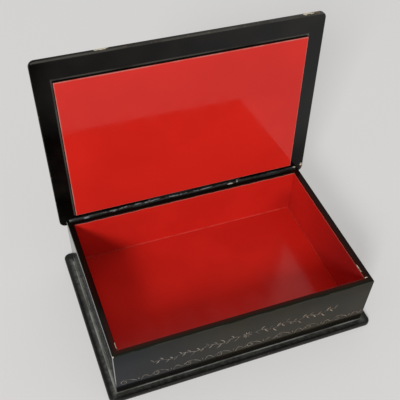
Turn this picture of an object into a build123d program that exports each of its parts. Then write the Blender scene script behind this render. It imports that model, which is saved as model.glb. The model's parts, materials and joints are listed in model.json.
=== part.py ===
from build123d import *
import math
import os

# Lacquered keepsake box with a hinged lid, standing on its base board.
# The origin is the middle of the base board's underside, +Z up, and the front faces -Y.
# The lid stands open on its stop, leaning back past upright, as the box rests.
# All sizes are in millimetres.

# Driving sizes of the box
body_length = 180.0
body_depth = 118.4
wall_thickness = 4.6
wall_height = 43.4
interior_depth = 37.3
base_side_projection = 6.2
base_front_projection = 4.9
base_rear_projection = 9.5
base_shift_x = 0.4
base_thickness = 3.0
base_corner_radius = 4.5
floor_thickness = 4.0

# Driving sizes of the lid
lid_side_overhang = 4.5
lid_front_overhang = 3.1
lid_rear_overhang = 4.4
lid_thickness = 3.4
lid_corner_radius = 4.0
panel_thickness = 2.4
panel_side_margin = 11.9
panel_front_margin = 13.7
panel_rear_margin = 5.0
open_angle = 93.5

# Driving sizes of the hinge
hinge_setback = 0.25
barrel_radius = 1.6
pin_radius = 0.6
running_clearance = 0.05
knuckle_gap = 0.4
groove_clearance = 0.3
barrel_end = 88.0
left_joint_x = -29.0
right_joint_x = 39.0
leaf_thickness = 0.8
box_leaf_depth = 7.0
lid_leaf_reach = 5.0
barrel_bite = 0.2

# Eased edges
wall_edge_easing = 0.5
corner_easing = 0.6
base_top_rounding = 1.2
base_foot_easing = 0.4
lid_top_rounding = 1.2
lid_under_easing = 0.6
panel_easing = 0.5
floor_seam = 0.35

# Sizes that follow from the driving ones
half_length = body_length / 2
half_depth = body_depth / 2
rim_z = base_thickness + wall_height
floor_top_z = rim_z - interior_depth
floor_under_z = floor_top_z - floor_thickness
inner_length = body_length - 2 * wall_thickness
inner_depth = body_depth - 2 * wall_thickness
hinge_y = half_depth + hinge_setback
lid_half_length = half_length + lid_side_overhang
lid_front = body_depth + hinge_setback + lid_front_overhang
lid_rear = hinge_setback - lid_rear_overhang
groove_radius = barrel_radius + groove_clearance
box_leaf_front = hinge_y - barrel_radius + barrel_bite - leaf_thickness
lid_leaf_start = barrel_radius - barrel_bite

# Planes that the pieces are drawn on: across the hinge line, and on the open lid's underside.
# On the lid plane x runs along the hinge, y from the hinge to the lid's free edge,
# and the normal points to the inside of the box when the lid is shut.
tilt = math.radians(open_angle)
lid_plane = Plane(
    origin=(0, hinge_y, rim_z),
    x_dir=(1, 0, 0),
    z_dir=(0, -math.sin(tilt), -math.cos(tilt)),
)


def across_hinge(x):
    # plane square to the hinge line at x, with local y up and local x towards the back
    return Plane(origin=(x, hinge_y, rim_z), x_dir=(0, 1, 0), z_dir=(1, 0, 0))


# Lengths of the three hinge knuckles along X, each with half a gap at its joints
half_gap = knuckle_gap / 2
left_knuckle = (-barrel_end, left_joint_x - half_gap)
middle_knuckle = (left_joint_x + half_gap, right_joint_x - half_gap)
right_knuckle = (right_joint_x + half_gap, barrel_end)

# Lengths of the grooves that house them: the lid's knuckle needs a gap at each end
# in the wall, and the box's knuckles need one at each end in the lid.
middle_groove = (left_joint_x - half_gap, right_joint_x + half_gap)
left_groove = (-barrel_end - groove_clearance, left_joint_x + half_gap)
right_groove = (right_joint_x - half_gap, barrel_end + groove_clearance)

os.makedirs("parts", exist_ok=True)


# Base board: a foot that projects most at the rear, with a raised step that locates the walls
with BuildPart() as base_board:
    with BuildSketch(Plane.XY):
        with Locations((base_shift_x, (base_rear_projection - base_front_projection) / 2)):
            RectangleRounded(
                body_length + 2 * base_side_projection,
                body_depth + base_front_projection + base_rear_projection,
                base_corner_radius,
            )
    extrude(amount=base_thickness)
    fillet(base_board.edges().group_by(Axis.Z)[-1], base_top_rounding)
    chamfer(base_board.edges().group_by(Axis.Z)[0], base_foot_easing)
    with BuildSketch(Plane.XY.offset(base_thickness)):
        Rectangle(inner_length, inner_depth)
    extrude(amount=floor_under_z - base_thickness)

# Floor panel: lies on the base board's step, its top edges eased where they meet the walls
with BuildPart() as floor_panel:
    with BuildSketch(Plane.XY.offset(floor_under_z)):
        Rectangle(inner_length, inner_depth)
    extrude(amount=floor_thickness)
    chamfer(floor_panel.edges().group_by(Axis.Z)[-1], floor_seam)

# Wall shell: one wound tube with square corners, grooved and slotted along its rear rim
with BuildPart() as wall_shell:
    with BuildSketch(Plane.XY.offset(base_thickness)):
        RectangleRounded(body_length, body_depth, corner_easing)
        Rectangle(inner_length, inner_depth, mode=Mode.SUBTRACT)
    extrude(amount=wall_height)
    fillet(wall_shell.edges().group_by(Axis.Z)[-1], wall_edge_easing)
    for start, end in (left_knuckle, right_knuckle):
        with BuildSketch(across_hinge(start)):
            Circle(barrel_radius)
        extrude(amount=end - start, mode=Mode.SUBTRACT)
        with BuildSketch(Plane.XY.offset(rim_z - box_leaf_depth)):
            with Locations(((start + end) / 2, box_leaf_front + leaf_thickness / 2)):
                Rectangle(end - start, leaf_thickness)
        extrude(amount=box_leaf_depth, mode=Mode.SUBTRACT)
    with BuildSketch(across_hinge(middle_groove[0])):
        Circle(groove_radius)
    extrude(amount=middle_groove[1] - middle_groove[0], mode=Mode.SUBTRACT)

# Lid board: overhangs the walls all round and is grooved along the hinge line
with BuildPart() as lid_board:
    with BuildSketch(lid_plane.offset(-lid_thickness)):
        with Locations((0, (lid_front + lid_rear) / 2)):
            RectangleRounded(2 * lid_half_length, lid_front - lid_rear, lid_corner_radius)
    extrude(amount=lid_thickness)
    inside_axis = Axis((0, 0, 0), lid_plane.z_dir)
    fillet(lid_board.edges().group_by(inside_axis)[0], lid_top_rounding)
    fillet(lid_board.edges().group_by(inside_axis)[-1], lid_under_easing)
    for start, end in (left_groove, right_groove):
        with BuildSketch(across_hinge(start)):
            Circle(groove_radius)
        extrude(amount=end - start, mode=Mode.SUBTRACT)
    with BuildSketch(across_hinge(middle_knuckle[0])):
        Circle(barrel_radius)
    extrude(amount=middle_knuckle[1] - middle_knuckle[0], mode=Mode.SUBTRACT)
    with BuildSketch(lid_plane.offset(-leaf_thickness)):
        with Locations((sum(middle_knuckle) / 2, (lid_leaf_start + lid_leaf_reach) / 2)):
            Rectangle(middle_knuckle[1] - middle_knuckle[0], lid_leaf_reach - lid_leaf_start)
    extrude(amount=leaf_thickness, mode=Mode.SUBTRACT)

# Lid panel: raised board under the lid that drops inside the walls when it is shut
with BuildPart() as lid_panel:
    panel_length = 2 * (lid_half_length - panel_side_margin)
    panel_near = panel_rear_margin
    panel_far = lid_front - panel_front_margin
    with BuildSketch(lid_plane):
        with Locations((0, (panel_near + panel_far) / 2)):
            Rectangle(panel_length, panel_far - panel_near)
    extrude(amount=panel_thickness)
    panel_axis = Axis((0, 0, 0), lid_plane.z_dir)
    fillet(lid_panel.edges().group_by(panel_axis)[-1], panel_easing)


def box_hinge_leaf(name, span):
    # knuckle rolled round the pin, with a leaf that drops into the slot in the rear wall
    start, end = span
    with BuildPart() as leaf:
        with BuildSketch(across_hinge(start)):
            Circle(barrel_radius)
            Circle(pin_radius, mode=Mode.SUBTRACT)
        extrude(amount=end - start)
        with BuildSketch(Plane.XY.offset(rim_z - box_leaf_depth)):
            with Locations(((start + end) / 2, box_leaf_front + leaf_thickness / 2)):
                Rectangle(end - start, leaf_thickness)
        extrude(amount=box_leaf_depth)
    leaf.part.label = name
    return leaf


left_hinge_leaf = box_hinge_leaf("left_hinge_leaf", left_knuckle)
right_hinge_leaf = box_hinge_leaf("right_hinge_leaf", right_knuckle)

# Lid's hinge leaf: turns freely on the pin, its leaf let in flush with the lid's underside
with BuildPart() as middle_hinge_leaf:
    with BuildSketch(across_hinge(middle_knuckle[0])):
        Circle(barrel_radius)
    extrude(amount=middle_knuckle[1] - middle_knuckle[0])
    with BuildSketch(lid_plane.offset(-leaf_thickness)):
        with Locations((sum(middle_knuckle) / 2, (lid_leaf_start + lid_leaf_reach) / 2)):
            Rectangle(middle_knuckle[1] - middle_knuckle[0], lid_leaf_reach - lid_leaf_start)
    extrude(amount=leaf_thickness)
    with BuildSketch(across_hinge(middle_knuckle[0])):
        Circle(pin_radius + running_clearance)
    extrude(amount=middle_knuckle[1] - middle_knuckle[0], mode=Mode.SUBTRACT)

# Hinge pin: one wire through all three knuckles, gripped by the two on the box
with BuildPart() as hinge_pin:
    with BuildSketch(across_hinge(-barrel_end)):
        Circle(pin_radius)
    extrude(amount=2 * barrel_end)

base_board.part.label = "base_board"
floor_panel.part.label = "floor_panel"
wall_shell.part.label = "wall_shell"
lid_board.part.label = "lid_board"
lid_panel.part.label = "lid_panel"
middle_hinge_leaf.part.label = "middle_hinge_leaf"
hinge_pin.part.label = "hinge_pin"

for piece in (
    base_board,
    floor_panel,
    wall_shell,
    left_hinge_leaf,
    right_hinge_leaf,
    hinge_pin,
    middle_hinge_leaf,
    lid_board,
    lid_panel,
):
    export_step(piece.part, f"parts/{piece.part.label}.step")
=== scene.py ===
import json
import math
import random

import bmesh
import bpy
from mathutils import Matrix, Vector


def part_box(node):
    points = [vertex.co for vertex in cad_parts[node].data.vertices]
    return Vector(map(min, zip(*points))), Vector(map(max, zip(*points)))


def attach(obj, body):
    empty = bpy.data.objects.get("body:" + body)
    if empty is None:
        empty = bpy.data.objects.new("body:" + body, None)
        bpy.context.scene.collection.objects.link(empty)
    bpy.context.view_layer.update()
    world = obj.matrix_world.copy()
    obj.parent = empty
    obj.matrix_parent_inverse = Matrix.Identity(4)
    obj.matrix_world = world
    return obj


# Lacquered keepsake box with its lid open: black outside, red inside, gold line ornament.
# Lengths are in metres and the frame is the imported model's own: +Z up, front towards -Y.
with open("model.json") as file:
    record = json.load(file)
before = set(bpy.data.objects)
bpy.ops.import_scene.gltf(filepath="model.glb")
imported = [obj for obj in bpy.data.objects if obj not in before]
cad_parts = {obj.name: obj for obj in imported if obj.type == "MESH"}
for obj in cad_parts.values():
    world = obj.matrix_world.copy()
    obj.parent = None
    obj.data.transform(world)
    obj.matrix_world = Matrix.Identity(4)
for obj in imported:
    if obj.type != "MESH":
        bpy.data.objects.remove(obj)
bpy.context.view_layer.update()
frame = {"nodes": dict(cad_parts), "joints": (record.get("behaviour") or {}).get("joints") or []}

MM = 0.001
nodes = frame["nodes"]

# Places taken from the frame
base_low, base_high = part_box("base_board")
wall_low, wall_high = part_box("wall_shell")
floor_low, floor_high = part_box("floor_panel")
wall_thickness = wall_high.x - floor_high.x
hinge = frame["joints"][0]
hinge_point = Vector(hinge["pos_m"])
open_angle = math.radians(hinge["range_deg"][1])
lid_reach = Vector((0, -math.cos(open_angle), math.sin(open_angle)))
lid_outside = Vector((0, math.sin(open_angle), math.cos(open_angle)))


def shut_box(node):
    """Lowest and highest corner of a piece of the lid as it lies when the lid is shut."""
    turn = Matrix.Rotation(open_angle, 3, "X")
    points = [turn @ (v.co - hinge_point) + hinge_point for v in nodes[node].data.vertices]
    low = Vector([min(p[i] for p in points) for i in range(3)])
    high = Vector([max(p[i] for p in points) for i in range(3)])
    return low, high


lid_low, lid_high = shut_box("lid_board")
panel_low, panel_high = shut_box("lid_panel")


def spot(corner, offset, radii):
    """A chip or worn spot as (centre, radii): offset from the corner and radii in millimetres."""
    return corner + Vector(offset) * MM, Vector(radii) * MM


# Chips and worn spots. Those of the lid are placed on the shut lid.
lid_front = Vector((0, lid_low.y, lid_low.z))
lid_front_right = Vector((lid_high.x, lid_low.y, lid_low.z))
lid_hinge_end = Vector((lid_high.x, hinge_point.y, lid_low.z))
LID_CHIPS = [
    spot(lid_front, (-52.0, 0.3, 2.1), (4.2, 1.6, 1.3)),
    spot(lid_front, (82.2, 0.3, 1.6), (4.0, 1.6, 1.3)),
    spot(lid_hinge_end, (-1.6, -2.2, 0.0), (0.8, 1.5, 0.6)),
]
LID_RUBS = [
    spot(lid_front, (88.5, 1.0, 1.8), (5.0, 2.2, 1.6)),
    spot(lid_hinge_end, (-0.5, 0.0, 0.0), (2.2, 3.6, 1.2)),
    spot(lid_front_right, (0.0, 12.0, 1.0), (0.8, 8.0, 0.8)),
]
rim_inner_right = Vector((floor_high.x, floor_low.y, wall_high.z))
rim_inner_left = Vector((floor_low.x, floor_low.y, wall_high.z))
rim_outer_left = Vector((wall_low.x, wall_low.y, wall_high.z))
WALL_CHIPS = [
    spot(rim_inner_right, (0.1, 9.5, 0.0), (0.2, 4.0, 0.5)),
    spot(rim_inner_right, (0.4, 0.2, 0.0), (1.3, 0.4, 0.7)),
    spot(rim_outer_left, (0.4, 0.4, 0.0), (0.7, 0.7, 0.7)),
    spot(rim_inner_left, (-0.3, 3.5, 0.0), (0.3, 2.2, 0.6)),
]
HINGE_WEAR = [
    spot(hinge_point, (-29.0, 0.0, 1.2), (0.6, 1.0, 1.0)),
    spot(hinge_point, (40.0, 0.4, 1.4), (1.6, 0.7, 0.9)),
    spot(hinge_point, (39.2, -1.0, 1.0), (0.6, 0.8, 0.8)),
    spot(hinge_point, (34.0, -1.4, 0.6), (2.0, 0.5, 0.6)),
    spot(hinge_point, (87.2, -0.6, 1.4), (2.0, 0.5, 0.6)),
]

# Colours, linear
BLACK = (0.0012, 0.0010, 0.0009, 1)
BLACK_WORN = (0.0060, 0.0052, 0.0042, 1)
WALL_COOL = (0.0045, 0.0060, 0.0080, 1)
WALL_COOL_WORN = (0.0070, 0.0085, 0.0110, 1)
WALL_BROWN = (0.0120, 0.0095, 0.0042, 1)
WALL_BROWN_WORN = (0.0190, 0.0150, 0.0065, 1)
RIM_INNER = (0.0430, 0.0042, 0.0026, 1)
RIM_OUTER = (0.0058, 0.0050, 0.0032, 1)
RIM_OUTER_FRONT = (0.0055, 0.0092, 0.0046, 1)
RIM_BLACK = (0.0040, 0.0014, 0.0010, 1)
SIDE_HAZE_AND_REFLECTION = (0.0400, 0.0395, 0.0370, 1)
HINGE_BLACK = (0.0180, 0.0210, 0.0205, 1)
HINGE_PAINTED_HIGHLIGHT = (0.2000, 0.2100, 0.2150, 1)
LEDGE_BLOOM = (0.1200, 0.1190, 0.1080, 1)
DUST = (0.3000, 0.3050, 0.2800, 1)
ARRIS_RUB_AND_HIGHLIGHT = (0.0620, 0.0590, 0.0500, 1)
CORNER_RUB_AND_HIGHLIGHT = (0.2780, 0.2850, 0.2830, 1)
RED = (0.60, 0.0175, 0.0105, 1)
RED_DEEP = (0.545, 0.0148, 0.0090, 1)
RED_PAINTED_SHADE = (0.20, 0.0080, 0.0080, 1)
RED_RUB_AND_HIGHLIGHT = (0.47, 0.18, 0.145, 1)
RED_SEAM = (0.66, 0.056, 0.042, 1)
BOARD = (0.60, 0.53, 0.40, 1)
UNDERCOAT = (0.16, 0.085, 0.045, 1)
WORN_METAL = (0.55, 0.50, 0.42, 1)
BRASS = (0.72, 0.50, 0.20, 1)
BRASS_DULL = (0.38, 0.25, 0.10, 1)
GOLD = (0.31, 0.275, 0.225, 1)
GOLD_BROWN = (0.37, 0.27, 0.19, 1)
CLOTH = (0.84, 0.84, 0.85, 1)
BACKDROP = (0.66, 0.64, 0.62, 1)
ROOM = (0.50, 0.50, 0.49, 1)
DAYLIGHT = (0.985, 0.99, 1.0)

# Depths below the rim's top: the rim's own look fades out from the first to the second, and
# inside the box the black gives way to red from the third to the fourth
RIM_FLAT = 0.05 * MM
RIM_END = 0.3 * MM
RED_BEGINS = 0.75 * MM
RED_FULL = 0.85 * MM


class Recipe:
    """One material, with a method for each node or group of nodes that the recipes use."""

    def __init__(self, name):
        self.material = bpy.data.materials.new(name)
        self.material.use_nodes = True
        self.tree = self.material.node_tree
        self.shader = self.tree.nodes["Principled BSDF"]

    def node(self, kind, **settings):
        made = self.tree.nodes.new(kind)
        for key, value in settings.items():
            setattr(made, key, value)
        return made

    def feed(self, socket, value):
        """Links an output to the socket, or sets the socket to a plain value."""
        if isinstance(value, bpy.types.NodeSocket):
            self.tree.links.new(value, socket)
        else:
            socket.default_value = value

    def set(self, **values):
        """Feeds the shader's sockets, named with _ for a space."""
        for key, value in values.items():
            self.feed(self.shader.inputs[key.replace("_", " ")], value)

    def place(self):
        """The point on the surface in the frame, which rides with the piece."""
        return self.node("ShaderNodeTexCoord").outputs["Object"]

    def shut(self):
        """The same point with the lid turned down on the box."""
        turn = self.node("ShaderNodeVectorRotate", rotation_type="X_AXIS")
        self.feed(turn.inputs["Vector"], self.place())
        turn.inputs["Center"].default_value = hinge_point
        turn.inputs["Angle"].default_value = open_angle
        return turn.outputs[0]

    def vector(self, operation, a, b=(0, 0, 0)):
        made = self.node("ShaderNodeVectorMath", operation=operation)
        self.feed(made.inputs[0], a)
        self.feed(made.inputs[1], b)
        return made.outputs["Value" if operation == "LENGTH" else "Vector"]

    def math(self, operation, a, b=0.0):
        made = self.node("ShaderNodeMath", operation=operation)
        self.feed(made.inputs[0], a)
        self.feed(made.inputs[1], b)
        return made.outputs[0]

    def plus(self, a, b):
        return self.math("ADD", a, b)

    def minus(self, a, b):
        return self.math("SUBTRACT", a, b)

    def absolute(self, a):
        return self.math("ABSOLUTE", a)

    def times(self, first, *others):
        for other in others:
            first = self.math("MULTIPLY", first, other)
        return first

    def largest(self, first, *others):
        for other in others:
            first = self.math("MAXIMUM", first, other)
        return first

    def smallest(self, first, *others):
        for other in others:
            first = self.math("MINIMUM", first, other)
        return first

    def split(self, vector):
        made = self.node("ShaderNodeSeparateXYZ")
        self.feed(made.inputs[0], vector)
        return made.outputs[0], made.outputs[1], made.outputs[2]

    def beyond(self, place, corner):
        """How far out the point lies past a centred box's side, along x and along y."""
        x, y, _ = self.split(place)
        return self.minus(self.absolute(x), corner.x), self.minus(self.absolute(y), corner.y)

    def noise(self, place, size, detail=3.0, stretch=(1, 1, 1), seed=0.0):
        """Soft noise from 0 to 1 whose blobs are about size long."""
        moved = self.vector("MULTIPLY", place, stretch)
        moved = self.vector("ADD", moved, (seed, 0.7 * seed, 0.3 * seed))
        made = self.node("ShaderNodeTexNoise")
        self.feed(made.inputs["Vector"], moved)
        made.inputs["Scale"].default_value = 1 / size
        made.inputs["Detail"].default_value = detail
        return made.outputs["Fac"]

    def ramp(self, value, low, high, start=0.0, end=1.0):
        """start below low, end above high, and smooth between."""
        made = self.node("ShaderNodeMapRange", interpolation_type="SMOOTHSTEP")
        self.feed(made.inputs["Value"], value)
        made.inputs["From Min"].default_value = low
        made.inputs["From Max"].default_value = high
        made.inputs["To Min"].default_value = start
        made.inputs["To Max"].default_value = end
        return made.outputs["Result"]

    def mottle(self, place, size, least, most, detail=3.0, seed=0.0):
        """Noise spread from least to most."""
        return self.ramp(self.noise(place, size, detail, seed=seed), 0.3, 0.7, least, most)

    def blend(self, factor, first, second):
        made = self.node("ShaderNodeMix", data_type="RGBA")
        self.feed(made.inputs["Factor"], factor)
        self.feed(made.inputs["A"], first)
        self.feed(made.inputs["B"], second)
        return made.outputs["Result"]

    def edge_distance(self, place, low, high):
        """Distance from the nearest edge of a box, for a point on one of its faces."""
        above = self.vector("SUBTRACT", place, low)
        below = self.vector("SUBTRACT", high, place)
        a, b, c = self.split(self.vector("MINIMUM", above, below))
        nearer = self.smallest(a, b)
        farther = self.largest(a, b)
        return self.largest(nearer, self.smallest(farther, c))

    def spots(self, place, spots, ragged):
        """1 inside any of the ellipsoids (centre, radii), with ragged rims."""
        found = 0.0
        for centre, radii in spots:
            offset = self.vector("SUBTRACT", place, centre)
            reach = self.vector("LENGTH", self.vector("DIVIDE", offset, radii))
            inside = self.ramp(self.plus(reach, ragged), 0.9, 1.0, 1.0, 0.0)
            found = self.largest(found, inside)
        return found

    def bump(self, height, distance, after=None):
        made = self.node("ShaderNodeBump")
        self.feed(made.inputs["Height"], height)
        made.inputs["Distance"].default_value = distance
        made.inputs["Strength"].default_value = 1.0
        if after is not None:
            self.feed(made.inputs["Normal"], after)
        return made.outputs["Normal"]

    def lacquer_surface(self, place, polished, dull, wear):
        """Polished by hand: long soft waves, a fine skin and faint rubbing in the gloss.

        polished and dull are the roughness of sound and of worn lacquer.
        """
        rub = self.noise(place, 9 * MM, stretch=(1, 0.4, 1.6), seed=3.1)
        rough = self.ramp(rub, 0.35, 0.75, polished, polished + 0.09)
        self.set(Roughness=self.plus(rough, self.times(wear, dull - polished)))
        waves = self.bump(self.noise(place, 38 * MM, 1.0, seed=1.7), 0.10 * MM)
        skin = self.bump(self.noise(place, 1.6 * MM, 2.0, seed=8.3), 0.002 * MM, waves)
        self.set(Normal=skin)


def dress(node, material):
    """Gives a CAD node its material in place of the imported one."""
    nodes[node].data.materials.clear()
    nodes[node].data.materials.append(material)


def black_colour(
    recipe, place, edge, seed, tones=(BLACK, BLACK_WORN), chips=0.0, pale=1.0, brown=1.0
):
    """Colour of black lacquer, greyer where rubbed, and how worn it is.

    At worn edges pale is how strongly the arrises are rubbed to a pale line, and brown how
    strongly the undercoat shows in flecks. The board is bare in the chips.
    """
    cloud = recipe.noise(place, 26 * MM, seed=seed)
    colour = recipe.blend(recipe.ramp(cloud, 0.35, 0.75), *tones)
    run = recipe.noise(place, 16 * MM, seed=seed + 2)
    arris = recipe.ramp(edge, 0.3 * MM, 0.8 * MM, pale, 0.0)
    arris = recipe.times(arris, recipe.ramp(run, 0.35, 0.6, 0.1, 1.0))
    colour = recipe.blend(arris, colour, ARRIS_RUB_AND_HIGHLIGHT)
    fleck = recipe.noise(place, 2.4 * MM, 4.0, seed=seed + 5)
    near = recipe.ramp(edge, 0.15 * MM, 0.75 * MM, 1.0, 0.0)
    rubbed = recipe.times(near, recipe.ramp(fleck, 0.60, 0.70, 0.0, brown))
    colour = recipe.blend(rubbed, colour, UNDERCOAT)
    bare = recipe.largest(recipe.times(near, recipe.ramp(fleck, 0.72, 0.75)), chips)
    return recipe.blend(bare, colour, BOARD), recipe.largest(rubbed, bare)


def clouded_red(recipe, place, size, seed, low=0.35):
    """Red lacquer, a little deeper in soft clouds."""
    cloud = recipe.noise(place, size, 2.0, seed=seed)
    return recipe.blend(recipe.ramp(cloud, low, 0.7), RED_DEEP, RED)


def joint_line(recipe, away, reach, run, full, least):
    """A line within reach of a joint, down to least in its gaps and whole where run is full."""
    near = recipe.ramp(away, 0.5 * reach, reach, 1.0, 0.0)
    return recipe.times(near, recipe.ramp(run, 0.35, full, least, 1.0))


def foot_dust(recipe, place, away, reach):
    """A pale broken line of dust near the walls' foot, thickest along the left side."""
    run = recipe.noise(place, 15 * MM, 4.0, seed=13)
    line = joint_line(recipe, away, reach, run, 0.62, 0.35)
    x = recipe.split(place)[0]
    return recipe.times(line, recipe.ramp(x, wall_low.x, wall_low.x + 2 * MM, 1.0, 0.6))


def seam_line(recipe, place, away, reach):
    """A broken line where floor and walls meet, weaker along the right side."""
    run = recipe.noise(place, 8 * MM, seed=73)
    line = joint_line(recipe, away, reach, run, 0.6, 0.4)
    x = recipe.split(place)[0]
    rightward = recipe.ramp(x, floor_high.x - 3 * MM, floor_high.x - 1 * MM, 1.0, 0.5)
    return recipe.times(line, rightward)


def rim_tone(recipe, place, past):
    """Tone of the rim, past being the distance out from its inner edge.

    On the front and the right the black is thin over the red towards the inner edge, and the
    front one's inner arris is rubbed.
    """
    x, y, _ = recipe.split(place)
    backward = recipe.ramp(y, wall_low.y + wall_thickness, wall_low.y + 40 * MM, 1.0, 0.1)
    rightward = recipe.ramp(x, wall_high.x - 3 * wall_thickness, wall_high.x, 1.0, 0.5)
    thin_right = recipe.ramp(x, floor_high.x - wall_thickness, floor_high.x, 0.0, 0.55)
    thin = recipe.largest(recipe.times(backward, rightward), thin_right)
    inner = recipe.blend(thin, RIM_BLACK, RIM_INNER)
    at_front = recipe.ramp(y, floor_low.y, floor_low.y + 1.5 * MM, 1.0, 0.0)
    outer = recipe.blend(at_front, RIM_OUTER, RIM_OUTER_FRONT)
    tone = recipe.blend(recipe.ramp(past, 0.0, 0.9 * wall_thickness), inner, outer)
    inner_arris = recipe.times(recipe.ramp(past, 0.1 * MM, 0.6 * MM, 0.35, 0.0), at_front)
    return recipe.blend(inner_arris, tone, RED_RUB_AND_HIGHLIGHT)


def wall_tones(recipe, place, below_rim, past):
    """The two tones of the walls' black, browned towards the right except along the foot."""
    x, _, z = recipe.split(place)
    browned = recipe.ramp(x, wall_low.x, 0.0)
    at_foot = recipe.ramp(z, wall_low.z + 4 * MM, wall_low.z + 8 * MM, 1.0, 0.0)
    on_rim = recipe.ramp(below_rim, RIM_FLAT, RIM_END, 1.0, 0.0)
    rim = rim_tone(recipe, place, past)
    tones = []
    for cool, brown in ((WALL_COOL, WALL_BROWN), (WALL_COOL_WORN, WALL_BROWN_WORN)):
        tone = recipe.blend(at_foot, recipe.blend(browned, cool, brown), BLACK_WORN)
        tones.append(recipe.blend(on_rim, tone, rim))
    return tones


def left_rub_and_highlight(recipe, place, below_rim):
    """How strongly the walls' upright corners at the left and the arris between are painted pale,
    as rubbing with a painted highlight.
    """
    x, _, z = recipe.split(place)
    past_corner = recipe.smallest(*recipe.beyond(place, wall_high))
    corner = recipe.ramp(past_corner, -0.65 * MM, -0.2 * MM)
    height = recipe.ramp(z, wall_low.z + 6 * MM, wall_low.z + 18 * MM)
    leftward = recipe.ramp(x, wall_low.x, 0.0, 1.0, 0.0)
    from_left = recipe.minus(x, wall_low.x)
    from_arris = recipe.largest(below_rim, recipe.times(from_left, 2.0))
    arris = recipe.ramp(from_arris, 0.3 * MM, 0.85 * MM, 0.9, 0.0)
    return recipe.largest(recipe.times(corner, height, leftward), arris)


def wall_black(recipe, place, below_rim, past):
    """Colour of the walls' outside and rim, and how worn they are."""
    edge = recipe.edge_distance(place, wall_low, wall_high)
    ragged = recipe.mottle(place, 1.5 * MM, -0.35, 0.35, seed=2.2)
    chips = recipe.spots(place, WALL_CHIPS, ragged)
    tones = wall_tones(recipe, place, below_rim, past)
    black, worn = black_colour(
        recipe, place, edge, seed=11, tones=tones, chips=chips, pale=0.4, brown=0.25
    )

    # the left side is paler, partly from fine wear and partly as a painted reflection of the pale
    # cloth, and dust lies along the foot all round
    x, _, z = recipe.split(place)
    haze_and_reflection = recipe.mottle(place, 14 * MM, 0.6, 1.0, 4.0, seed=15)
    side = recipe.ramp(x, wall_low.x + 0.05 * MM, wall_low.x + 0.2 * MM, 1.0, 0.0)
    black = recipe.blend(recipe.times(side, haze_and_reflection), black, SIDE_HAZE_AND_REFLECTION)
    above = recipe.minus(z, wall_low.z)
    black = recipe.blend(foot_dust(recipe, place, above, 1.7 * MM), black, DUST)
    # pale left corners and arris: part rubbing, part painted highlight
    return recipe.blend(left_rub_and_highlight(recipe, place, below_rim), black, CORNER_RUB_AND_HIGHLIGHT), worn


def wall_red(recipe, place, depth):
    """Colour of the walls' inside, depth being the distance below the rim.

    Shade is painted on the right wall, darkest high up near the front, and on the rear right
    corner low down. The red is rubbed where it begins under the rim.
    """
    x, y, z = recipe.split(place)
    # painted shade: the red is darkened on the right wall and low down towards the right corner
    right_wall = recipe.ramp(x, floor_high.x - 0.8 * MM, floor_high.x - 0.1 * MM)
    forward = recipe.ramp(y, floor_low.y, floor_high.y, 0.95, 0.22)
    slope = recipe.plus(z, recipe.times(y, 0.7))
    upward = recipe.ramp(slope, -2 * MM, 12 * MM, 0.45, 1.0)
    cornerward = recipe.ramp(x, floor_high.x - 28 * MM, floor_high.x - 2 * MM, 0.0, 0.315)
    low_down = recipe.ramp(z, wall_high.z - 24 * MM, wall_high.z - 8 * MM, 1.0, 0.1)
    right_wall_shade = recipe.times(right_wall, forward, upward)
    painted_shade = recipe.largest(right_wall_shade, recipe.times(cornerward, low_down))
    red = recipe.blend(painted_shade, clouded_red(recipe, place, 30 * MM, seed=21), RED_PAINTED_SHADE)
    red = recipe.blend(recipe.ramp(depth, 1.2 * MM, 1.6 * MM, 0.6, 0.0), red, RED_RUB_AND_HIGHLIGHT)
    above_floor = recipe.minus(z, floor_high.z)
    return recipe.blend(seam_line(recipe, place, above_floor, 1.0 * MM), red, RED_SEAM)


def wall_gloss(recipe, place, below_rim, inside):
    """Gloss of the walls: the black has less than the red, and less rightward and upward."""
    x, _, z = recipe.split(place)
    rightward = recipe.ramp(x, wall_low.x, wall_high.x, 0.40, 0.28)
    upward = recipe.ramp(z, wall_high.z - 18 * MM, wall_high.z - 1 * MM, 1.0, 0.62)
    rimward = recipe.ramp(below_rim, RIM_FLAT, RIM_END, 0.8, 1.0)
    return recipe.largest(recipe.times(rightward, upward, rimward), recipe.times(inside, 0.5))


def wall_lacquer():
    """Black outside and on the rim, red inside, with a hand-painted line between them."""
    recipe = Recipe("wall_lacquer")
    place = recipe.place()
    below_rim = recipe.minus(wall_high.z, recipe.split(place)[2])
    past = recipe.largest(*recipe.beyond(place, floor_high))
    wander = recipe.mottle(place, 7 * MM, -0.2 * MM, 0.2 * MM, seed=4.4)
    depth = recipe.plus(below_rim, wander)
    under = recipe.ramp(depth, RED_BEGINS, RED_FULL)
    inside = recipe.times(under, recipe.ramp(past, 0.05 * MM, 0.1 * MM, 1.0, 0.0))
    black, worn = wall_black(recipe, place, below_rim, past)
    red = wall_red(recipe, place, depth)
    recipe.set(Base_Color=recipe.blend(inside, black, red))
    recipe.lacquer_surface(place, polished=0.07, dull=0.45, wear=worn)
    recipe.set(IOR=1.36, Specular_IOR_Level=wall_gloss(recipe, place, below_rim, inside))
    return recipe.material


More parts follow.
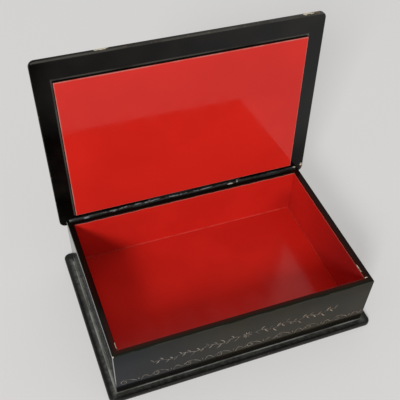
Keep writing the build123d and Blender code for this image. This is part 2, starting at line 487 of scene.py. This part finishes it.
def base_lacquer():
    """Black lacquer, duller than the walls because the base is handled and gathers dust."""
    recipe = Recipe("base_lacquer")
    place = recipe.place()
    ledge_high = Vector((base_high.x, base_high.y, wall_low.z))
    edge = recipe.edge_distance(place, base_low, ledge_high)
    colour, worn = black_colour(recipe, place, edge, seed=31, pale=0.3)

    # the ledge is dulled by fine scuffs, most of all near the walls and at the left
    x = recipe.split(place)[0]
    out_x, out_y = recipe.beyond(place, wall_high)
    near = recipe.ramp(recipe.largest(out_x, out_y), 1.0 * MM, 4.2 * MM, 1.0, 0.05)
    scuffs = recipe.mottle(place, 3.5 * MM, 0.35, 1.0, 4.0, seed=35)
    leftward = recipe.ramp(x, wall_low.x - 1.5 * MM, wall_low.x, 1.0, 0.42)
    colour = recipe.blend(recipe.times(near, scuffs, leftward), colour, LEDGE_BLOOM)
    away = recipe.largest(recipe.times(out_x, 0.2), out_y)
    colour = recipe.blend(foot_dust(recipe, place, away, 0.2 * MM), colour, DUST)
    recipe.set(Base_Color=colour, IOR=1.38)
    recipe.lacquer_surface(place, polished=0.24, dull=0.5, wear=worn)
    return recipe.material


def lid_lacquer():
    """Black lacquer with chips down to the board along the lid's front edge."""
    recipe = Recipe("lid_lacquer")
    place = recipe.shut()
    edge = recipe.edge_distance(place, lid_low, lid_high)
    ragged = recipe.mottle(place, 1.5 * MM, -0.35, 0.35, seed=7.7)
    chips = recipe.spots(place, LID_CHIPS, ragged)
    colour, worn = black_colour(recipe, place, edge, seed=51, chips=chips, pale=0.3)

    # the front edge's lower arris gets a pale line, a painted highlight
    x, y, z = recipe.split(place)
    inward = recipe.ramp(recipe.minus(y, lid_low.y), 0.8 * MM, 1.4 * MM, 0.8, 0.0)
    under = recipe.ramp(z, lid_low.z + 0.2 * MM, lid_low.z + 0.6 * MM, 1.0, 0.0)
    patchy = recipe.ramp(recipe.noise(place, 25 * MM, 2.0, seed=57), 0.3, 0.6, 0.35, 1.0)
    colour = recipe.blend(recipe.times(inward, under, patchy), colour, ARRIS_RUB_AND_HIGHLIGHT)

    # brown speckle beside the right chip, along the right edge behind it and by the hinge
    speck = recipe.ramp(recipe.noise(place, 0.9 * MM, 2.0, seed=54), 0.45, 0.6)
    speckled = recipe.times(speck, recipe.spots(place, LID_RUBS, ragged))
    colour = recipe.blend(speckled, colour, UNDERCOAT)

    # a thin paler line along the panel's foot, a painted highlight on the lacquer gathered there
    beyond_x = recipe.minus(recipe.absolute(x), panel_high.x)
    behind = recipe.minus(y, panel_high.y)
    before = recipe.minus(panel_low.y, y)
    beyond = recipe.largest(beyond_x, behind, before)
    outer_side = recipe.ramp(beyond, 0.8 * MM, 1.5 * MM, 1.0, 0.0)
    inner_side = recipe.ramp(beyond, 0.1 * MM, 0.4 * MM)
    line = recipe.times(outer_side, inner_side, under, patchy)
    recipe.set(Base_Color=recipe.blend(line, colour, ARRIS_RUB_AND_HIGHLIGHT))
    recipe.lacquer_surface(place, polished=0.10, dull=0.5, wear=worn)

    # the gloss falls towards the left, most of all along the left edge, and towards the hinge
    rightward = recipe.ramp(x, lid_low.x, lid_high.x, 0.22, 0.66)
    left_edge = recipe.ramp(x, lid_low.x + 1.5 * MM, lid_low.x + 16.5 * MM, 0.4, 1.0)
    hingeward = recipe.ramp(y, 10 * MM, 50 * MM, 1.0, 0.45)
    recipe.set(IOR=1.34, Specular_IOR_Level=recipe.times(rightward, left_edge, hingeward))
    return recipe.material


def panel_lacquer():
    """Red lacquer over the panel's face, black on its sides, with a pale line painted along the
    edge as its highlight, where the gloss is also duller.
    """
    recipe = Recipe("panel_lacquer")
    place = recipe.shut()
    edge = recipe.edge_distance(place, panel_low, panel_high)
    # the pale line along the panel's edge is a painted highlight
    near = recipe.ramp(edge, 0.2 * MM, 0.8 * MM, 1.0, 0.0)
    broken = recipe.ramp(recipe.noise(place, 9 * MM, seed=63), 0.35, 0.6, 0.3, 0.8)
    rubbed = recipe.times(near, broken)
    red = clouded_red(recipe, place, 45 * MM, seed=61, low=0.3)
    red = recipe.blend(rubbed, red, RED_RUB_AND_HIGHLIGHT)
    z = recipe.split(place)[2]
    side = recipe.ramp(z, panel_low.z + 0.45 * MM, panel_low.z + 0.6 * MM)
    recipe.set(Base_Color=recipe.blend(side, red, BLACK), IOR=1.36)
    recipe.lacquer_surface(place, polished=0.05, dull=0.3, wear=rubbed)
    return recipe.material


def floor_lacquer():
    """Red lacquer with a pale, broken line of dust and rubbing where it meets the walls."""
    recipe = Recipe("floor_lacquer")
    place = recipe.place()
    red = clouded_red(recipe, place, 40 * MM, seed=71)
    edge = recipe.edge_distance(place, floor_low, floor_high)
    seam = seam_line(recipe, place, edge, 0.8 * MM)
    recipe.set(Base_Color=recipe.blend(seam, red, RED_SEAM), IOR=1.45)
    recipe.lacquer_surface(place, polished=0.15, dull=0.4, wear=seam)
    return recipe.material


def hinge_metal():
    """Brass under black lacquer, worn through at the knuckles' ends."""
    recipe = Recipe("hinge_metal")
    place = recipe.place()
    ragged = recipe.mottle(place, 1.2 * MM, -0.4, 0.4, seed=81)
    worn = recipe.spots(place, HINGE_WEAR, ragged)
    cloud = recipe.noise(place, 6 * MM, stretch=(0.3, 1, 1), seed=83)
    black = recipe.blend(recipe.ramp(cloud, 0.4, 0.7), BLACK_WORN, HINGE_BLACK)

    # a painted highlight: a thin broken pale streak along the top of the barrel, nearer the front
    # at its left end
    x, y, _ = recipe.split(place)
    left_end = hinge_point.y - 1.3 * MM
    centre = recipe.ramp(x, -65 * MM, -45 * MM, left_end, hinge_point.y - 0.8 * MM)
    drift = recipe.mottle(place, 12 * MM, -0.25 * MM, 0.25 * MM, 2.0, seed=85)
    aside = recipe.plus(recipe.minus(y, centre), drift)
    highlight_streak = recipe.ramp(recipe.absolute(aside), 0.15 * MM, 0.4 * MM, 1.0, 0.0)
    broken = recipe.ramp(recipe.noise(place, 4.5 * MM, seed=87), 0.42, 0.6)
    fade = recipe.ramp(x, 0.0, 45 * MM, 1.0, 0.15)
    black = recipe.blend(recipe.times(highlight_streak, broken, fade), black, HINGE_PAINTED_HIGHLIGHT)
    recipe.set(Base_Color=recipe.blend(worn, black, WORN_METAL))
    recipe.set(Metallic=recipe.times(worn, 0.6))
    recipe.lacquer_surface(place, polished=0.16, dull=0.4, wear=worn)

    # the gloss is highest at the left end and falls again over the right half
    left_half = recipe.ramp(x, wall_low.x, -40 * MM, 0.48, 0.30)
    right_half = recipe.ramp(x, 0.0, wall_high.x, 1.0, 0.35)
    recipe.set(IOR=1.7, Specular_IOR_Level=recipe.times(left_half, right_half))
    return recipe.material


def bare_brass():
    """Drawn brass wire, a little tarnished."""
    recipe = Recipe("bare_brass")
    tarnish = recipe.noise(recipe.place(), 3 * MM, stretch=(0.3, 1, 1), seed=91)
    recipe.set(Base_Color=recipe.blend(recipe.ramp(tarnish, 0.4, 0.7), BRASS, BRASS_DULL))
    recipe.set(Roughness=recipe.ramp(tarnish, 0.3, 0.7, 0.22, 0.45), Metallic=1.0)
    return recipe.material


def gold_paint():
    """Gold powder in varnish, rubbed thin in places so that the black shows."""
    recipe = Recipe("gold_paint")
    place = recipe.place()
    thin = recipe.noise(place, 5 * MM, 4.0, seed=101)
    rubbed = recipe.ramp(thin, 0.42, 0.66, 0.0, 0.85)
    x = recipe.split(place)[0]
    tone = recipe.blend(recipe.ramp(x, -30 * MM, 60 * MM), GOLD, GOLD_BROWN)
    recipe.set(Base_Color=recipe.blend(rubbed, tone, BLACK_WORN))
    recipe.set(Metallic=recipe.ramp(rubbed, 0.0, 1.0, 0.3, 0.0))
    recipe.set(Roughness=recipe.ramp(thin, 0.3, 0.7, 0.32, 0.5))
    return recipe.material


class Face:
    """A flat side of the box that ornament is painted on, with its right, up and outward."""

    def __init__(self, centre, right, up):
        self.centre = Vector(centre)
        self.right = Vector(right)
        self.up = Vector(up)
        self.outward = self.right.cross(self.up)

    def point(self, across, above, height):
        flat = self.right * across + self.up * above
        return self.centre + flat + self.outward * height


# Middles of the border and of the sprig, above the walls' foot
BORDER_LEVEL = 10.9 * MM
SPRIG_LEVEL = 24 * MM

# Half lengths of the border on the long and the short walls, and of the sprig
LONG_BORDER = 87.5 * MM
SHORT_BORDER = 54.5 * MM
SPRIG = 65.5 * MM

# About the length of one repeat of the border
REPEAT = 21.8 * MM

# The lid's two gold lines as (inset from the lid's edge, width), and its corner scrolls
LID_LINES = ((7 * MM, 0.8 * MM), (9 * MM, 0.35 * MM))
SCROLL_LENGTH = 15 * MM
SCROLL_HEIGHT = 5 * MM
SCROLL_WIDTH = 0.5 * MM
SCROLL_INSET_X = 19 * MM
SCROLL_INSET_Y = 14 * MM

# How far the paint stands proud at a stroke's crest and rim, and how deep its root sits
CREST = 0.045 * MM
PAINT_RIM = 0.012 * MM
ROOT = -0.03 * MM

# How a stroke swells between its ends: 1 is a plain sine, and less is fuller
SWELLING = 0.7


def arc_line(start, end, bow, steps=10):
    """A shallow bow from start to end, standing bow to its left."""
    sx, sy = start
    ex, ey = end
    way = Vector((ex - sx, ey - sy))
    left = Vector((-way.y, way.x)).normalized()
    line = []
    for i in range(steps):
        t = i / (steps - 1)
        lift = bow * 4 * t * (1 - t)
        line.append((sx + way.x * t + left.x * lift, sy + way.y * t + left.y * lift))
    return line


def spiral(centre, outer, inner, start, turns, steps=40):
    """A spiral from the outer radius in to the inner one, beginning at the angle start."""
    cx, cy = centre
    line = []
    for i in range(steps):
        t = i / (steps - 1)
        angle = start + 2 * math.pi * turns * t
        radius = outer + (inner - outer) * t
        line.append((cx + radius * math.cos(angle), cy + radius * math.sin(angle)))
    return line


def scroll(centre, length, height, mirror):
    """An S with a small spiral at both ends: its heading grows with distance squared."""
    last_heading = 1.35 * math.pi
    steps = 44
    half = []
    x = y = 0.0
    for i in range(steps):
        heading = last_heading * (i / (steps - 1)) ** 2
        half.append((x, y))
        x += math.cos(heading)
        y += math.sin(heading)
    line = [(-px, -py) for px, py in reversed(half[1:])] + half
    scale_x = mirror * length / 2 / max(abs(px) for px, _ in line)
    scale_y = height / 2 / max(abs(py) for _, py in line)
    cx, cy = centre
    return [(cx + px * scale_x, cy + py * scale_y) for px, py in line]


def add_stroke(mesh, face, line, width, blunt=0.0):
    """One brush stroke along a line of (across, above) points, swelling between its ends.

    blunt is the share of the width that the stroke keeps at its ends.
    """
    last = len(line) - 1
    rings = []
    for i, (across, above) in enumerate(line):
        ahead = line[min(i + 1, last)]
        behind = line[max(i - 1, 0)]
        way = Vector((ahead[0] - behind[0], ahead[1] - behind[1])).normalized()
        swell = math.sin(math.pi * (i + 0.5) / (last + 1)) ** SWELLING
        half = width / 2 * (blunt + (1 - blunt) * swell)
        left = face.point(across - way.y * half, above + way.x * half, PAINT_RIM)
        crest = face.point(across, above, CREST)
        right = face.point(across + way.y * half, above - way.x * half, PAINT_RIM)
        root = face.point(across, above, ROOT)
        rings.append([mesh.verts.new(p) for p in (left, crest, right, root)])
    for first, second in zip(rings, rings[1:]):
        for k in range(4):
            mesh.faces.new((first[k], first[k - 1], second[k - 1], second[k]))
    mesh.faces.new(rings[0])
    mesh.faces.new(reversed(rings[-1]))


def finish_mesh(mesh, name, material, body):
    """Turns the strokes into one piece that rides on its body."""
    bmesh.ops.recalc_face_normals(mesh, faces=mesh.faces)
    data = bpy.data.meshes.new(name)
    mesh.to_mesh(data)
    mesh.free()
    data.materials.append(material)
    piece = bpy.data.objects.new(name, data)
    bpy.context.scene.collection.objects.link(piece)
    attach(piece, body)


def border_lines(left, base, pitch):
    """One repeat of the running scroll: a curl, a falling stroke, a bow, an arch and its tail."""

    def at(across, above):
        """A point from its share of the pitch and its height in millimetres."""
        return left + across * pitch, base + above * MM

    return (
        spiral(at(0.145, 0.0), 2.8 * MM, 0.7 * MM, math.radians(50), 1.25),
        arc_line(at(0.24, 2.4), at(0.52, -1.6), 0.5 * MM, 16),
        arc_line(at(0.60, 1.0), at(0.60, -0.9), -0.5 * MM),
        arc_line(at(0.66, -2.2), at(0.92, -1.4), 3.4 * MM, 22),
        arc_line(at(0.92, -1.4), at(1.02, 1.0), -0.5 * MM),
    )


def scroll_border(mesh, face, half_span, chance):
    """The running scroll over and over, each repeat a little off level and off width."""
    count = round(2 * half_span / REPEAT)
    pitch = 2 * half_span / count
    for i in range(count):
        base = BORDER_LEVEL + chance.uniform(-0.2, 0.2) * MM
        width = chance.uniform(0.32, 0.40) * MM
        for line in border_lines(i * pitch - half_span, base, pitch):
            add_stroke(mesh, face, line, width, blunt=0.45)


def rosette(mesh, face, centre, radius, petals, width):
    """Straight petals all round a small open eye."""
    cx, cy = centre
    eye = radius * 0.25
    for k in range(petals):
        angle = 2 * math.pi * (k + 0.5) / petals
        start = (cx + eye * math.cos(angle), cy + eye * math.sin(angle))
        end = (cx + radius * math.cos(angle), cy + radius * math.sin(angle))
        add_stroke(mesh, face, arc_line(start, end, 0.1 * MM, 8), width)


def leaf_sprig(mesh, face, chance):
    """A slender vine out from the middle both ways, with fine leaves on each side of its stem."""
    start = 5 * MM
    wave = 1.3 * MM
    waves = 3.5
    steps = 90
    stem_width = 0.32 * MM
    leaves = 20

    # a leaf leans away from the middle: shares of its reach along the wall and up or down
    leaf_along = 0.62
    leaf_out = 0.78
    for side in (-1, 1):
        stem = []
        for i in range(steps):
            t = i / (steps - 1)
            across = start + (SPRIG - start) * t
            above = SPRIG_LEVEL + wave * math.sin(2 * math.pi * waves * t)
            stem.append((side * across, above))
        add_stroke(mesh, face, stem, stem_width, blunt=0.5)
        for k in range(leaves):
            at = stem[int((k + 0.6) / leaves * (steps - 1))]
            upward = 1 if k % 2 else -1
            reach = chance.uniform(3.6, 5.4) * MM * (1 - 0.2 * k / leaves)
            tip = (at[0] + side * reach * leaf_along, at[1] + upward * reach * leaf_out)
            leaf = arc_line(at, tip, side * upward * 0.5 * MM, 9)
            add_stroke(mesh, face, leaf, chance.uniform(0.50, 0.66) * MM)
    rosette(mesh, face, (0, SPRIG_LEVEL), radius=3.4 * MM, petals=8, width=0.55 * MM)


def paint_walls(gold):
    """A scroll border low on each wall, and a leafy sprig above it on the front."""
    middle_y = (wall_low.y + wall_high.y) / 2
    foot = wall_low.z
    front = Face((0, wall_low.y, foot), (1, 0, 0), (0, 0, 1))
    back = Face((0, wall_high.y, foot), (-1, 0, 0), (0, 0, 1))
    left = Face((wall_low.x, middle_y, foot), (0, -1, 0), (0, 0, 1))
    right = Face((wall_high.x, middle_y, foot), (0, 1, 0), (0, 0, 1))
    chance = random.Random(5)
    for side, face, half_span in (
        ("front", front, LONG_BORDER),
        ("back", back, LONG_BORDER),
        ("left", left, SHORT_BORDER),
        ("right", right, SHORT_BORDER),
    ):
        mesh = bmesh.new()
        scroll_border(mesh, face, half_span, chance)
        finish_mesh(mesh, side + "_scroll_border", gold, "box")
    mesh = bmesh.new()
    leaf_sprig(mesh, front, chance)
    finish_mesh(mesh, "front_leaf_sprig", gold, "box")


def paint_lid_top(gold):
    """Two fine gold lines round the top of the lid, with a scroll in each corner."""
    middle_out = hinge_point.y - (lid_low.y + lid_high.y) / 2
    thickness = lid_high.z - lid_low.z
    centre = hinge_point + lid_reach * middle_out + lid_outside * thickness
    face = Face(centre, (1, 0, 0), -lid_reach)
    half_x = lid_high.x
    half_y = (lid_high.y - lid_low.y) / 2
    mesh = bmesh.new()
    for inset, width in LID_LINES:
        line_x = half_x - inset
        line_y = half_y - inset
        corners = [(line_x, line_y), (-line_x, line_y), (-line_x, -line_y), (line_x, -line_y)]
        for first, second in zip(corners, corners[1:] + corners[:1]):
            add_stroke(mesh, face, arc_line(first, second, 0, 24), width, blunt=0.8)
    for sx in (-1, 1):
        for sy in (-1, 1):
            middle = (sx * (half_x - SCROLL_INSET_X), sy * (half_y - SCROLL_INSET_Y))
            line = scroll(middle, SCROLL_LENGTH, SCROLL_HEIGHT, sx * sy)
            add_stroke(mesh, face, line, SCROLL_WIDTH)
    finish_mesh(mesh, "lid_top_gold_lines", gold, "lid")


# Half the table's side in metres, and the share of flat backdrop that the eye sees in it
TABLE_HALF = 3.0
BACKDROP_SHARE = 0.5


def make_floor():
    """A wide pale table top under the box."""
    half = TABLE_HALF
    data = bpy.data.meshes.new("table")
    corners = [(-half, -half, 0), (half, -half, 0), (half, half, 0), (-half, half, 0)]
    data.from_pydata(corners, [], [(0, 1, 2, 3)])
    table = bpy.data.objects.new("table", data)
    bpy.context.scene.collection.objects.link(table)
    recipe = Recipe("table_cloth")
    recipe.set(Base_Color=CLOTH, Roughness=0.9, Specular_IOR_Level=0.1)

    # to the eye and in reflections the cloth is part pale backdrop, so its shadow stays soft
    backdrop = recipe.node("ShaderNodeEmission")
    backdrop.inputs["Color"].default_value = BACKDROP
    rays = recipe.node("ShaderNodeLightPath").outputs
    seen = recipe.largest(rays["Is Camera Ray"], rays["Is Glossy Ray"])
    mixed = recipe.node("ShaderNodeMixShader")
    recipe.feed(mixed.inputs[0], recipe.times(seen, BACKDROP_SHARE))
    recipe.feed(mixed.inputs[1], recipe.shader.outputs[0])
    recipe.feed(mixed.inputs[2], backdrop.outputs[0])
    recipe.feed(recipe.tree.nodes["Material Output"].inputs["Surface"], mixed.outputs[0])
    data.materials.append(recipe.material)


# The lamp's size in metres, its power in watts, where it stands and what it is aimed at
LAMP_SIZE = 1.15
LAMP_POWER = 200.0
LAMP_PLACE = (-2.84, -3.76, 2.61)
LAMP_AIM = (0, 0, 0.03)

# The camera as it was fitted to the edges of the box in the photograph: its lens in
# millimetres, the shift of its picture, where it stands and its turn in degrees
LENS = 58.026
SENSOR_WIDTH = 36.0
SHIFT_X = -0.003266
SHIFT_Y = 0.201853
CAMERA_PLACE = (-0.121953, -0.264094, 0.377807)
CAMERA_TURN = (38.47439, -1.94892, -20.54392)


def make_light():
    """A soft pale room and one large lamp from the front left."""
    world = bpy.data.worlds.new("room")
    world.use_nodes = True
    background = world.node_tree.nodes["Background"]
    background.inputs["Color"].default_value = ROOM
    background.inputs["Strength"].default_value = 1.0
    bpy.context.scene.world = world

    lamp = bpy.data.lights.new("window", "AREA")
    lamp.shape = "RECTANGLE"
    lamp.size = LAMP_SIZE
    lamp.size_y = LAMP_SIZE
    lamp.energy = LAMP_POWER
    lamp.color = DAYLIGHT
    holder = bpy.data.objects.new("window", lamp)
    holder.location = LAMP_PLACE
    aim = Vector(LAMP_AIM) - holder.location
    holder.rotation_euler = aim.to_track_quat("-Z", "Y").to_euler()
    bpy.context.scene.collection.objects.link(holder)


def make_camera():
    """The camera at the photograph's viewpoint: front left, looking down at the open box."""
    camera = bpy.data.cameras.new("camera")
    camera.lens = LENS
    camera.sensor_width = SENSOR_WIDTH
    camera.shift_x = SHIFT_X
    camera.shift_y = SHIFT_Y
    holder = bpy.data.objects.new("camera", camera)
    holder.location = CAMERA_PLACE
    holder.rotation_euler = [math.radians(angle) for angle in CAMERA_TURN]
    bpy.context.scene.collection.objects.link(holder)
    bpy.context.scene.camera = holder


dress("wall_shell", wall_lacquer())
dress("base_board", base_lacquer())
dress("floor_panel", floor_lacquer())
dress("lid_board", lid_lacquer())
dress("lid_panel", panel_lacquer())
metal = hinge_metal()
for leaf in ("left_hinge_leaf", "right_hinge_leaf", "middle_hinge_leaf"):
    dress(leaf, metal)
dress("hinge_pin", bare_brass())

gold = gold_paint()
paint_walls(gold)
paint_lid_top(gold)
make_floor()
make_light()
make_camera()
bpy.context.scene.view_settings.view_transform = "Standard"
